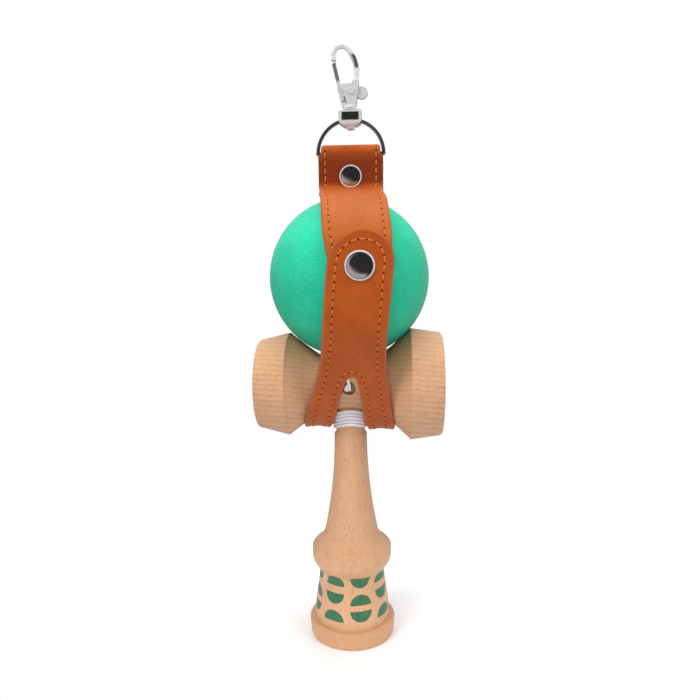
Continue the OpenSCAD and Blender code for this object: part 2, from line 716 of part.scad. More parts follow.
module trigger() {
    along = unit(gate_top - gate_foot);
    across = [along[1], -along[0]] * gate_w / 2;
    color(nickel) on_hook() difference() {
        union() {
            intersection() {
                sideways(trigger_t) polygon([
                    gate_foot - across, gate_foot + across, gate_top + along + across, gate_top + along - across
                ]);
                sideways(far) translate(pivot) circle(gate_reach);
            }
            sideways(trigger_t) polygon([
                [-3.4, 11.6], [pivot[0], pivot[1] + 1.6], [4.6, 10.6], [4.6, 7.6],
                [pivot[0], pivot[1] - 1.6], [-2.4, 8.2]
            ]);
            sideways(trigger_t) translate(pivot) circle(1.9);
            sideways(trigger_t) translate([4.65, 9.05]) circle(lobe_r);
        }
        sideways(far) translate(pivot) circle(pin_r + fit);
    }
}
module trigger_pin() {
    color(nickel) on_hook() translate([pivot[0], 0, pivot[1]]) rotate([90, 0, 0]) {
        cylinder(r = pin_r, h = 2 * plate_out + 2 * fit, center = true);
        for (side = [0, 180]) rotate([side, 0, 0]) translate([0, 0, plate_out + fit])
            cylinder(r1 = pin_head_r, r2 = pin_head_r - 0.35, h = 0.5);
    }
}
module trigger_spring() {
    color(nickel) on_hook() sideways(trigger_t - 2 * gap / 2) polygon([
        [0.2, web_z + fit], [2.2, web_z + fit], [3, 6.9], [3, 7.3], [2.7, 7.3], [1.9, web_z + 0.4], [0.2, web_z + 0.4]
    ]);
}

ken();
sarado();
tama();
tama_bead();
string_knot();
string_lead();
string_winding();
string_run();
string_tail();
strap_face();
strap_lining();
flap_face();
flap_lining();
lid_face();
lid_lining();
tab_face();
tab_lining();
snap_cap();
snap_socket();
snap_stud();
snap_post();
rivet_cap();
rivet_post();
d_ring();
swivel_eye();
hook_body();
trigger();
trigger_pin();
trigger_spring();
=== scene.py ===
import math
import random

import bmesh
import bpy
from mathutils import Matrix, Vector


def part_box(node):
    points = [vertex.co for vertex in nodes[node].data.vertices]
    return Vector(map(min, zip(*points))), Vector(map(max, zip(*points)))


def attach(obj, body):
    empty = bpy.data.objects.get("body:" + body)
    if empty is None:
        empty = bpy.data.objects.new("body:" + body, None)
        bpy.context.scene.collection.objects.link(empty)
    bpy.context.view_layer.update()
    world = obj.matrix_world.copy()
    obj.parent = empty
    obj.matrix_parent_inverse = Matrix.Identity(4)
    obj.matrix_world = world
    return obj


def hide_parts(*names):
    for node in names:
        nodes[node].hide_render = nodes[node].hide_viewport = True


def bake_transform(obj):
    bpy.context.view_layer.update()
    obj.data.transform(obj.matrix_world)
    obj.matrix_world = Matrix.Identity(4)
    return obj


bl_info = {
    "name": "Kendama in leather holster",
    "version": (1, 0, 0),
    "blender": (4, 2, 0),
    "location": "View3D > Sidebar > Kendama",
    "description": "Finishes a wooden cup-and-ball toy in a stitched leather holster",
    "category": "Object",
}

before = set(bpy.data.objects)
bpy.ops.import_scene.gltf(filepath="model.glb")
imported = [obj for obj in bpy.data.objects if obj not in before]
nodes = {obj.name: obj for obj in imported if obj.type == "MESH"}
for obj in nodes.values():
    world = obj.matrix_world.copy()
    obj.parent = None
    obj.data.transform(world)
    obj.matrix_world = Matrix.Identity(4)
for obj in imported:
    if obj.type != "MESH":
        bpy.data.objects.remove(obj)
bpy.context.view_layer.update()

# Sizes of the CAD part, in millimetres
MM = 0.001
SARADO_Z = 101.3
SADDLE_R = 14.2
BALL_R = 30.0
BALL_Z = SARADO_Z + 21.4 + math.sqrt(30.3 ** 2 - 23.3 ** 2)
LEATHER_T = 2.2
TAB_R = BALL_R + 0.4
FLAP_R = TAB_R + LEATHER_T + 2.2
BACK_R = BALL_R + 2.4
SLIT = 0.1
CREASE_Z = BALL_Z + math.sqrt((TAB_R + LEATHER_T) ** 2 - (SLIT + LEATHER_T) ** 2)
RIVET_Z = CREASE_Z + 4.6
BAR_Z = RIVET_Z + 8.5
WIRE_TOP_Z = BAR_Z + 12.2
CLAMP_TOP_Z = RIVET_Z + 4.55
LOOP_R = 1.0
SNAP_Z = BALL_Z + 3.7
SNAP_X = 5.6
FLAP_END_R = 11.0
LOOP_X = 1.0
LEAN_Z = SARADO_Z - 13
FLAP_HALF = 11.3
LEG_HALF = 17.0
LID_HALF = 12.0
TAB_HALF = 11.7
TAB_END_HALF = 10.6
TAB_ROUND = 5.0
TAB_END_DROP = 2.3
NECK_HALF = 10.95
NECK_Z = BAR_Z - 0.7
FORK_TOP_Z = SARADO_Z + 6.7
FORK_FOOT_Z = SARADO_Z - 12.6
FORK_FOOT_HALF = 7.1
STRING_D = 1.15
WINDING_R = 6.225
WINDING_TOP_Z = SARADO_Z - 10.4 - 0.725
WINDING_TURNS = 5
WINDING_PITCH = 4 * 1.57 / WINDING_TURNS
FRONT_RISE = 1.9
KNOT_X = -0.3
KNOT_Y = -10.7
KNOT_R = 1.5
HOOK_LEAN = 3.0

# Leather as it lies, where the CAD part is plainer: end of the flap, distances from the tab's end over which
# it narrows, height over which its lean begins, roundness of crease and edges, spread of the fork
FLAP_END_Z = SNAP_Z + 1.1
TAB_TAPER = (6.0, 18.0)
TAB_LEAN_EASE = 4.5
CREASE_ROUND = 2.5
CREASE_STEPS = 12
EDGE_ROUND = 0.9
FORK_SPREAD = 1.22
FORK_FOOT_RISE = 1.4

# Legs of the holster: middle of a leg, its half width, sag of its sides and extra drop on the right
LEG_MIDDLE = 12.3
LEG_REACH = 5.2
LEG_SAG = 0.8
RIGHT_DROP = 0.9

# Stitches: half width and height of the thread, radius and depth of a needle hole, how far both sit off the
# leather's face, and the thread's turn to either side
THREAD_HALF = 0.3
THREAD_RISE = 0.3
HOLE_R = 0.4
HOLE_DEPTH = 0.08
STITCH_LIFT = 0.02
STITCH_TURN = 0.06

# Routes of the string, from its knot to the winding and from there into the ball
LEAD_ROUTE = [
    (0.3, -12, 101), (0.3, -12.2, 103), (-0.6, -12, 105.4), (-2.6, -10.8, 108.2), (-5.2, -8.4, 110.8),
    (-7.2, -5, 112.4), (-7.8, -1, 112.9), (-7.8, 3, 112.5), (-7.2, 7, 110.6), (-6, 10.2, 106.5),
    (-4.8, 11.6, 101.5), (-4.2, 11.2, 97), (-4.3, 9.8, 94), (-4.4, 8.2, 91.8), (-3.2, 6.8, 90.5),
]
RUN_ROUTE = [
    (3, 6.6, 83.9), (4.2, 8.2, 84.8), (3.8, 9.8, 87), (2.4, 11, 90.6), (0.8, 11.9, 95), (0, 13.4, 99.5),
    (0, 16.8, 106), (0, 20.3, 113), (0, 23.8, 120), (0, 27.1, 127), (0, 29.8, 133.5), (0, 31.1, 141),
    (0, 30.6, 148), (0, 28.3, 155.2), (0, 24, 162), (0, 18.5, 167.3), (0, 12, 171), (0, 6.5, 172.8),
    (0, 3, 173.3), (0, 0.9, 172.6), (0, 0, 171.2), (0, 0, 170.4),
]
TAIL_STEPS = 8
KNOT_STEPS = 24
TURN_STEPS = 36
ROUTE_STEPS = 6
STRING_SIDES = 10

# Leaf spring in the hook's own frame: x and z of its points, width and thickness
SPRING_ROUTE = [(0.2, 0, 5.83), (1.2, 0, 5.83), (2.0, 0, 5.95), (2.5, 0, 6.6), (2.85, 0, 7.3)]
SPRING_W = 1.1
SPRING_T = 0.3


def length(name, description, default):
    return bpy.props.FloatProperty(name=name, description=description, default=default, min=0.0005,
                                   max=0.01, precision=5, subtype="DISTANCE", unit="LENGTH")


def paint(name, description, default):
    return bpy.props.FloatVectorProperty(name=name, description=description, default=default, min=0.0,
                                         max=1.0, subtype="COLOR")


class KendamaSizes(bpy.types.PropertyGroup):
    """Sizes of the stitching."""

    stitch_step: length("Stitch step", "Distance from one needle hole to the next", 0.0028)
    stitch_length: length("Stitch length", "Length of thread that shows between two holes", 0.00225)
    stitch_inset: length("Stitch inset", "Distance of a seam from the strap's edge", 0.0026)
    flap_inset: length("Flap stitch inset", "Distance of the seam from the flap's edge", 0.0032)
    seed: bpy.props.IntProperty(name="Seed", description="Start of the stitches' small turns", default=7)


class KendamaColours(bpy.types.PropertyGroup):
    """Colours of the materials, linear."""

    beech_light: paint("Beech", "Wood between the growth lines", (0.68, 0.395, 0.225))
    beech_dark: paint("Beech lines", "Wood in the growth lines", (0.50, 0.265, 0.13))
    beech_fleck: paint("Beech flecks", "Short flecks along the grain", (0.34, 0.15, 0.065))
    print_green: paint("Print", "Half discs printed on the body", (0.010, 0.135, 0.058))
    ball_green: paint("Ball", "Ball's paint, deeper tone", (0.014, 0.40, 0.235))
    ball_pale: paint("Ball speckle", "Ball's paint, paler tone", (0.034, 0.61, 0.36))
    leather_tan: paint("Leather", "Grain side of the leather", (0.46, 0.092, 0.010))
    leather_deep: paint("Leather clouds", "Deeper clouds in the leather", (0.37, 0.068, 0.007))
    # the tab's two tones are paled as a painted sheen
    leather_tab_sheen: paint("Leather tab", "Tab leather, paler as a painted sheen", (0.42, 0.108, 0.021))
    leather_tab_sheen_clouds: paint("Leather tab clouds", "Deeper clouds in the tab", (0.36, 0.088, 0.016))
    # painted shade round the rivet; the same colour darkens the flap towards its end
    leather_dark: paint("Leather, painted shade and darker flap end", "Leather round the rivet", (0.165, 0.022, 0.004))
    leather_edge_sheen: paint("Leather edge", "Cut edge of the leather, pinker as a painted sheen", (0.40, 0.115, 0.055))
    leather_inside: paint("Leather lining", "Flesh side of the leather", (0.36, 0.12, 0.04))
    thread: paint("Thread", "Sewing thread", (0.60, 0.18, 0.034))
    hole: paint("Needle hole", "Shade in the needle holes", (0.085, 0.015, 0.005))
    string_white: paint("String", "String's strands", (0.98, 0.95, 0.99))
    string_shade: paint("String shade", "Between the string's strands", (0.90, 0.87, 0.91))
    nickel: paint("Nickel", "Snap, rivet and swivel", (0.74, 0.72, 0.72))
    nickel_cast: paint("Cast nickel", "Hook and trigger", (0.87, 0.86, 0.84))
    nickel_dark: paint("Dark nickel", "Ring's wire", (0.26, 0.232, 0.23))


class Val:
    """A shader socket with arithmetic."""

    def __init__(self, graph, socket):
        self.graph = graph
        self.socket = socket

    def math(self, operation, *others):
        return self.graph.node("ShaderNodeMath", [self, *others], operation=operation)

    def __add__(self, other):
        return self.math("ADD", other)

    __radd__ = __add__

    def __sub__(self, other):
        return self.math("SUBTRACT", other)

    def __rsub__(self, other):
        return self.graph.node("ShaderNodeMath", [other, self], operation="SUBTRACT")

    def __mul__(self, other):
        return self.math("MULTIPLY", other)

    __rmul__ = __mul__

    def __truediv__(self, other):
        return self.math("DIVIDE", other)

    def __gt__(self, other):
        return self.math("GREATER_THAN", other)

    def __lt__(self, other):
        return self.math("LESS_THAN", other)

    def fade(self, low, high):
        """0 at low, 1 at high, smooth in between."""
        return self.graph.node("ShaderNodeMapRange", [self, low, high, 0.0, 1.0],
                               interpolation_type="SMOOTHSTEP")

    def fade_from(self, base, span):
        """The same between two heights, in millimetres over a base."""
        return self.fade((base + span[0]) * MM, (base + span[1]) * MM)


class Graph:
    """The node tree of a material or the world."""

    def __init__(self, owner, surface="BSDF_PRINCIPLED"):
        owner.use_nodes = True
        self.owner = owner
        self.tree = owner.node_tree
        self.surface = next(n for n in self.tree.nodes if n.type == surface)

    def node(self, kind, inputs=(), output=0, **settings):
        made = self.tree.nodes.new(kind)
        for key, value in settings.items():
            setattr(made, key, value)
        pairs = inputs.items() if isinstance(inputs, dict) else enumerate(inputs)
        for key, value in pairs:
            self.join(made.inputs[key], value)
        return Val(self, made.outputs[output])

    def join(self, socket, value):
        if isinstance(value, Val):
            self.tree.links.new(value.socket, socket)
        elif socket.type == "RGBA":
            socket.default_value = (*value, 1.0)
        else:
            socket.default_value = value

    def set(self, **values):
        for key, value in values.items():
            self.join(self.surface.inputs[key.replace("_", " ")], value)
        return self.owner

    def split(self, vector):
        return [self.node("ShaderNodeSeparateXYZ", [vector], output=i) for i in range(3)]

    def place(self):
        return self.split(self.node("ShaderNodeTexCoord", output="Object"))

    def vector(self, x, y, z):
        return self.node("ShaderNodeCombineXYZ", [x, y, z])

    def noise(self, vector, scale, detail=2.0, roughness=0.5):
        settings = {"Vector": vector, "Scale": scale, "Detail": detail, "Roughness": roughness}
        return self.node("ShaderNodeTexNoise", settings)

    def attribute(self, name):
        return self.node("ShaderNodeAttribute", output="Fac", attribute_name=name)

    def mix(self, factor, a, b):
        return self.node("ShaderNodeMix", {0: factor, 6: a, 7: b}, output=2, data_type="RGBA")

    def worn_edges(self, radius):
        return self.node("ShaderNodeBevel", {"Radius": radius}, samples=8)

    def bump(self, height, strength, distance):
        return self.node("ShaderNodeBump", {"Height": height, "Strength": strength, "Distance": distance})


def new_graph(name):
    return Graph(bpy.data.materials.new(name))


# Materials
def wood(name, colours, grain, printed=False):
    """Beech with streaks, growth lines and short flecks along the grain axis."""
    g = new_graph(name)
    x, y, z = g.place()
    long = g.vector(*[v * (0.05 if axis == grain else 1.0) for axis, v in enumerate((x, y, z))])
    short = g.vector(*[v * (0.14 if axis == grain else 1.0) for axis, v in enumerate((x, y, z))])
    streak = g.noise(long, 260.0, 3.0, 0.6)
    fine = g.noise(long, 1900.0, 2.0, 0.6)
    fleck = g.noise(short, 2400.0, 1.0, 0.4).fade(0.58, 0.70)
    if grain == 0:
        phase = z * 3300.0 + y * 900.0 + x * 250.0
        strength = 0.42
    else:
        phase = y * 2600.0 + x * 1500.0
        strength = 0.12
    ring = ((phase + streak * 5.0).math("SINE") + 1.0) * 0.5
    tone = streak.fade(0.3, 0.75) * 0.2 + ring * ring * ring * strength + fine * 0.35
    colour = g.mix(tone, colours.beech_light, colours.beech_dark)
    colour = g.mix(fleck * 0.42, colour, colours.beech_fleck)
    if printed:
        # painted shade: the handle's foot is darker towards the bottom, as if lit only from above
        colour = g.mix(z.fade(0.012, 0.006) * 0.6, colour, colours.beech_dark)
        colour = g.mix(half_discs(g, x, y, z), colour, colours.print_green)
    return g.set(Base_Color=colour, Roughness=fine * 0.12 + 0.42,
                 Normal=g.bump(fine + fleck * 0.5, 0.12, 0.0002))


# Printed half discs: step and turn of the columns in degrees, body radius and disc radius in millimetres,
# and each kind of column as heights of the flat sides, with the way the disc bulges
COLUMN_STEP = 45.0
COLUMN_TURN = 72.6
PRINT_R = 13.7
DISC_R = 4.2
DISC_COLUMNS = (((27.8, -1), (17.0, 1), (14.8, -1)), ((24.1, 1), (21.3, -1), (10.4, 1)))


def half_discs(g, x, y, z):
    """Mask of the printed half discs round the body: columns alternate between two orders."""
    turn = (y.math("ARCTAN2", x) * (180.0 / math.pi) + COLUMN_TURN) / COLUMN_STEP
    column = turn.math("ROUND")
    u = (turn - column) * (math.radians(COLUMN_STEP) * PRINT_R * MM)
    odd = (column * 0.5).math("FRACT").math("ABSOLUTE") > 0.25
    pores = g.noise(g.vector(x, y, z * 0.6), 1900.0, 3.0, 0.7).fade(0.34, 0.52)
    masks = []
    for rows in DISC_COLUMNS:
        total = 0.0
        for flat, way in rows:
            v = z - flat * MM
            total = (u * u + v * v < (DISC_R * MM) ** 2) * (v * float(way) > 0.0) + total
        masks.append(total)
    shown = masks[0] * (1.0 - odd) + masks[1] * odd
    return shown.math("MINIMUM", 1.0) * (pores * 0.14 + 0.85)


def ball_paint(colours):
    g = new_graph("ball_paint")
    spot = g.vector(*g.place())
    speckle = g.noise(spot, 2600.0, 2.0, 0.6)
    cloud = g.noise(spot, 60.0, 2.0)
    tone = speckle * 0.7 + cloud * 0.3
    colour = g.mix(tone.fade(0.34, 0.66), colours.ball_green, colours.ball_pale)
    return g.set(Base_Color=colour, Roughness=speckle * 0.08 + 0.46, Specular_IOR_Level=0.22,
                 Normal=g.bump(speckle, 0.06, 0.0002))


def leather(colours):
    """Tan leather with clouds, creases, a paler lining and two plies at its edges, whose cut edges are made
    pinker by a painted sheen; painted shade darkens the loop round the rivet, a painted sheen pales the tab,
    and the flap is darker towards its end.
    """
    g = new_graph("leather")
    x, y, z = g.place()
    spot = g.vector(x, y, z)
    edge = g.attribute("edge")
    ply = g.attribute("ply")
    cloud = g.noise(spot, 90.0, 4.0, 0.6)
    grain = g.noise(spot, 1800.0, 3.0, 0.6)
    crease = g.noise(g.vector(x, y * 0.4, z * 0.4), 420.0, 4.0, 0.65)
    tone = cloud * 0.6 + crease * 0.4
    outside = g.mix(tone.fade(0.3, 0.7), colours.leather_deep, colours.leather_tan)
    colour = g.mix(ply.fade(0.55, 0.45), outside, colours.leather_inside)
    seam = (ply - 0.5).math("ABSOLUTE").fade(0.09, 0.03) * edge.fade(0.7, 0.95)
    # cut edges: their own tone, made pinker as a painted sheen, with a dark line between the plies
    rim = g.mix(seam * 0.55, colours.leather_edge_sheen, colours.leather_deep)
    colour = g.mix(edge.fade(0.35, 0.9), colour, rim)
    # painted shade: the loop's front round the rivet and above the crease is darkened, as where it faces
    # down away from the top light
    below_top = z.fade((BAR_Z + 5) * MM, (RIVET_Z + 3) * MM)
    above_crease = z.fade_from(CREASE_Z, (-0.4, 3.4))
    in_front = y.fade(-0.0005, -0.0012)
    colour = g.mix(below_top * above_crease * in_front * 0.95, colour, colours.leather_dark)
    up = z - BALL_Z * MM
    from_ball = (y * y + up * up).math("SQRT")
    before_ball = y.fade(-0.003, -0.006)
    # painted sheen: the tab is paler and less saturated, as where it catches the light, with clouds of its
    # own
    tab = from_ball.fade_from(FLAP_R, (-1.0, -1.8)) * before_ball
    tab_sheen_colour = g.mix(tone.fade(0.3, 0.7), colours.leather_tab_sheen_clouds, colours.leather_tab_sheen)
    colour = g.mix(tab, colour, tab_sheen_colour)
    flap = from_ball.fade_from(FLAP_R, (-1.2, -0.4)) * before_ball
    flap_end = flap * z.fade_from(SNAP_Z, (-12, 12))
    colour = g.mix(flap_end * 0.5, colour, colours.leather_dark)
    return g.set(Base_Color=colour, Roughness=grain * 0.2 + 0.42, Specular_IOR_Level=0.32,
                 Normal=g.bump(grain * 0.5 + crease, 0.2, 0.0003))


def fibre(name, colour, shade):
    """Thread or string without a twist of its own."""
    g = new_graph(name)
    fuzz = g.noise(g.vector(*g.place()), 2600.0, 3.0, 0.6)
    return g.set(Base_Color=g.mix(fuzz.fade(0.35, 0.65), shade, colour), Roughness=fuzz * 0.2 + 0.6,
                 Specular_IOR_Level=0.0, Normal=g.bump(fuzz, 0.2, 0.0001))


def twisted_string(colours):
    g = new_graph("string")
    around, along, flat = g.split(g.node("ShaderNodeUVMap", uv_map="strand"))
    strand = ((along * 2.2 + around * 2.0) * (2.0 * math.pi)).math("SINE")
    fuzz = g.noise(g.vector(along, around, flat), 9.0, 3.0)
    colour = g.mix((strand * 0.35 + fuzz).fade(0.1, 0.8), colours.string_shade, colours.string_white)
    return g.set(Base_Color=colour, Roughness=0.85, Normal=g.bump(strand, 0.3, 0.0002))


# Metal: heights over the ring's wire at which the hook's round stock begins and its rubbed limb lies, the
# polished window of the swivel eye, the polished share of a cap's radius, and the radius of worn edges
STOCK_FROM = (12.6, 14.2)
RUBBED_LOW = (17.4, 18.4)
RUBBED_HIGH = (23.2, 22.2)
RUBBED_SIDE = (0.4, 0.9)
WINDOW_LOW = (-0.9, -0.4)
WINDOW_HIGH = (2.5, 2.1)
WINDOW_SIDE = (3.4, 2.9)
DOME_SHARE = (0.92, 0.84)
WORN_EDGE = 0.4


def scuffs(g, x, y, z):
    """Fine uneven wear in the polish."""
    return g.noise(g.vector(x, y, z), 700.0, 3.0, 0.6) * 0.1


def nickel(name, colour, roughness, metallic=1.0):
    """Plain plating on small pieces and wire."""
    g = new_graph(name)
    return g.set(Base_Color=colour, Metallic=metallic, Roughness=scuffs(g, *g.place()) + roughness)


def cast_nickel(name, colours, polish):
    """Hook casting: satin plates, stock more polished by the given share, one limb rubbed bright."""
    g = new_graph(name)
    x, y, z = g.place()
    stock = z.fade_from(WIRE_TOP_Z, STOCK_FROM)
    rubbed = z.fade_from(WIRE_TOP_Z, RUBBED_LOW) * z.fade_from(WIRE_TOP_Z, RUBBED_HIGH)
    rubbed = rubbed * x.fade_from(0, RUBBED_SIDE)
    return g.set(Base_Color=colours.nickel_cast, Metallic=stock * polish + rubbed * 0.6 + 0.4,
                 Roughness=stock * 0.2 + rubbed * -0.24 + scuffs(g, x, y, z) + 0.14,
                 Normal=g.worn_edges(WORN_EDGE * MM))


def cap_nickel(name, colours):
    """Cap of the snap or the rivet: a polished dome inside a satin rim."""
    corners = [vertex.co for vertex in nodes[name].data.vertices]
    across = [co.x for co in corners]
    upward = [co.z for co in corners]
    radius = (max(across) - min(across)) / 2
    g = new_graph("nickel_" + name)
    x, y, z = g.place()
    sideways = x - (max(across) + min(across)) / 2
    up = z - (max(upward) + min(upward)) / 2
    away = (sideways * sideways + up * up).math("SQRT")
    dome = away.fade(radius * DOME_SHARE[0], radius * DOME_SHARE[1])
    return g.set(Base_Color=colours.nickel, Metallic=dome * 0.7 + 0.3, Roughness=scuffs(g, x, y, z) + 0.06)


def swivel_nickel(colours):
    """Swivel eye: polished in the middle of its faces, satin where its edges are worn."""
    g = new_graph("nickel_swivel")
    x, y, z = g.place()
    inside = (x - LOOP_X * MM).math("ABSOLUTE").fade_from(0, WINDOW_SIDE)
    window = inside * z.fade_from(WIRE_TOP_Z, WINDOW_LOW) * z.fade_from(WIRE_TOP_Z, WINDOW_HIGH)
    return g.set(Base_Color=colours.nickel, Metallic=window * 0.7 + 0.3,
                 Roughness=scuffs(g, x, y, z) + 0.08, Normal=g.worn_edges(WORN_EDGE * MM))


# Shapes
def finished(name, mesh_maker, materials):
    """A new object at the origin from a bmesh that mesh_maker fills."""
    bm = bmesh.new()
    mesh_maker(bm)
    bmesh.ops.recalc_face_normals(bm, faces=bm.faces)
    for face in bm.faces:
        face.smooth = True
    mesh = bpy.data.meshes.new(name)
    bm.to_mesh(mesh)
    bm.free()
    for material in materials:
        mesh.materials.append(material)
    obj = bpy.data.objects.new(name, mesh)
    bpy.context.scene.collection.objects.link(obj)
    return obj


def ring_edges(bm, ring):
    return [bm.edges.get(pair) for pair in zip(ring, ring[1:] + ring[:1])]


def grow(bm, ring):
    """Extrudes a closed ring of vertices and returns the new ring in the same order."""
    made = bmesh.ops.extrude_edge_only(bm, edges=ring_edges(bm, ring))["geom"]
    fresh = {item for item in made if isinstance(item, bmesh.types.BMVert)}
    return [next(e.other_vert(v) for e in v.link_edges if e.other_vert(v) in fresh) for v in ring]


def cap(bm, ring):
    bmesh.ops.edgeloop_fill(bm, edges=ring_edges(bm, ring))


def smooth_route(points, steps):
    """A curve through the points, as the CAD part makes it."""
    out = []
    last = len(points) - 1
    vectors = [Vector(p) for p in points]
    for i in range(last):
        p = vectors[i - 1] if i else vectors[0] * 2 - vectors[1]
        q, r = vectors[i], vectors[i + 1]
        s = vectors[i + 2] if i + 2 <= last else vectors[last] * 2 - vectors[last - 1]
        for j in range(steps):
            u = j / steps
            out.append(0.5 * (2 * q + (r - p) * u + (2 * p - 5 * q + 4 * r - s) * u * u
                              + (3 * q - p - 3 * r + s) * u ** 3))
    out.append(vectors[last])
    return out


def spaced(start, end, step):
    count = max(1, round((end - start) / step))
    return [start + (end - start) * i / count for i in range(count + 1)]


def ramp(value, start, end):
    """0 before start, 1 after end, straight in between."""
    return min(1.0, max(0.0, (value - start) / (end - start)))


# Leather strips: step of a search along one, shortest length that is divided by, and distance, in metres,
# within which vertices are welded
FIND_STEP = 0.05
TINY = 1e-9
WELD = 1e-6


def bend(centre_z, r, start, end, steps):
    """Stations round a centre on the strap's inner face: y, z, outward y, outward z."""
    out = []
    for i in range(steps + 1):
        a = math.radians(start + (end - start) * i / steps)
        out.append((r * math.cos(a), centre_z + r * math.sin(a), math.cos(a), math.sin(a)))
    return out


def straight(a, b, steps):
    return [tuple(p + (q - p) * i / steps for p, q in zip(a, b)) for i in range(1, steps)]


class Strip:
    """A leather strip along stations, with an outer edge, an inner fork edge and a sideways lean."""

    def __init__(self, stations, lean):
        self.stations = stations
        self.lean = lean
        self.outer = None
        self.inner = None
        self.length = [0.0]
        middle = [(s[0] + s[2] * LEATHER_T / 2, s[1] + s[3] * LEATHER_T / 2) for s in stations]
        for a, b in zip(middle, middle[1:]):
            self.length.append(self.length[-1] + math.dist(a, b))

    def station(self, s):
        s = min(max(s, 0.0), self.length[-1])
        i = 0
        while i < len(self.length) - 2 and self.length[i + 1] < s:
            i += 1
        u = (s - self.length[i]) / max(self.length[i + 1] - self.length[i], TINY)
        y, z, ny, nz = [p + (q - p) * u for p, q in zip(self.stations[i], self.stations[i + 1])]
        size = math.hypot(ny, nz)
        return y, z, ny / size, nz / size

    def height(self, s):
        y, z, ny, nz = self.station(s)
        return z + nz * LEATHER_T / 2

    def point(self, s, x, d):
        y, z, ny, nz = self.station(s)
        middle_z = z + nz * LEATHER_T / 2
        d += leg_sag(x, middle_z)
        return Vector((x + self.lean(middle_z), y + ny * d, z + nz * d)) * MM

    def normal(self, s):
        y, z, ny, nz = self.station(s)
        return Vector((0, ny, nz))

    def find(self, z):
        """Distance along the strip at which its middle reaches a height."""
        s = 0.0
        while s < self.length[-1] and self.height(s) < z:
            s += FIND_STEP
        return s


def leg_sag(x, z):
    """How far the saddle under the cross piece hangs down at the sides of its two legs."""
    low = ramp(-z, 9 - SARADO_Z, 15 - SARADO_Z)
    across = (abs(x) - LEG_MIDDLE) / LEG_REACH
    return low * low * (LEG_SAG * min(across * across, 1.3) + (RIGHT_DROP if x > 0 else 0.0))


# Across half a strip: places of the face's columns, and turns of the rounded edge in degrees
COLUMNS = (0.0, 0.03, 0.09, 0.2, 0.35, 0.5, 0.65, 0.8, 0.91, 0.97, 1.0)
ROUND = (45.0, 90.0, 135.0)
RIM_FROM = len(COLUMNS) - 1
RIM_TO = len(COLUMNS) + len(ROUND)
WALL_FROM = 2 * len(COLUMNS) + len(ROUND) - 1


def section(xi, xo):
    """Half a strip's cross section from the fork edge xi to the outer edge xo: x, depth, share of edge."""
    ei = min(EDGE_ROUND, xi)
    eo = min(EDGE_ROUND, xo * 0.5)
    face = [(xi + ei + (xo - eo - xi - ei) * f, LEATHER_T, 0.0) for f in COLUMNS]
    turns = [(math.sin(math.radians(a)), LEATHER_T / 2 * (1 + math.cos(math.radians(a)))) for a in ROUND]
    rim = [(xo - eo + eo * out, d, 1.0) for out, d in turns]
    lining = [(x, 0.0, 0.0) for x, d, e in reversed(face)]
    wall = [(xi + ei - ei * out, LEATHER_T - d, 1.0) for out, d in turns]
    places = []
    for k, (x, d, e) in enumerate(face + rim + lining + wall):
        at_wall = k == 0 or k >= WALL_FROM
        if at_wall and xi == 0.0:
            e = 0.0
        elif k in (RIM_FROM, RIM_TO) or (at_wall and e == 0.0):
            e = 0.5
        places.append((x, d, e, at_wall))
    return places


def strip_mesh(bm, strip, rows):
    """Fills bm with both halves of a strip, welded along its middle where it isn't forked."""
    edge_layer = bm.verts.layers.float.new("edge")
    ply_layer = bm.verts.layers.float.new("ply")
    middle = set()
    for side in (1, -1):
        ring = bmesh.ops.create_circle(bm, segments=2 * (len(COLUMNS) + len(ROUND)), radius=MM)["verts"]
        cap(bm, ring)
        for i, s in enumerate(rows):
            if i:
                ring = grow(bm, ring)
            xi = strip.inner(s)
            for vert, (x, d, edge, at_wall) in zip(ring, section(xi, strip.outer(s))):
                vert.co = strip.point(s, side * x, d)
                vert[edge_layer] = edge
                vert[ply_layer] = d / LEATHER_T
                if at_wall and xi == 0.0:
                    middle.add(vert)
        cap(bm, ring)
    walls = [face for face in bm.faces if all(vert in middle for vert in face.verts)]
    bmesh.ops.delete(bm, geom=walls, context="FACES")
    bmesh.ops.remove_doubles(bm, verts=bm.verts, dist=WELD)


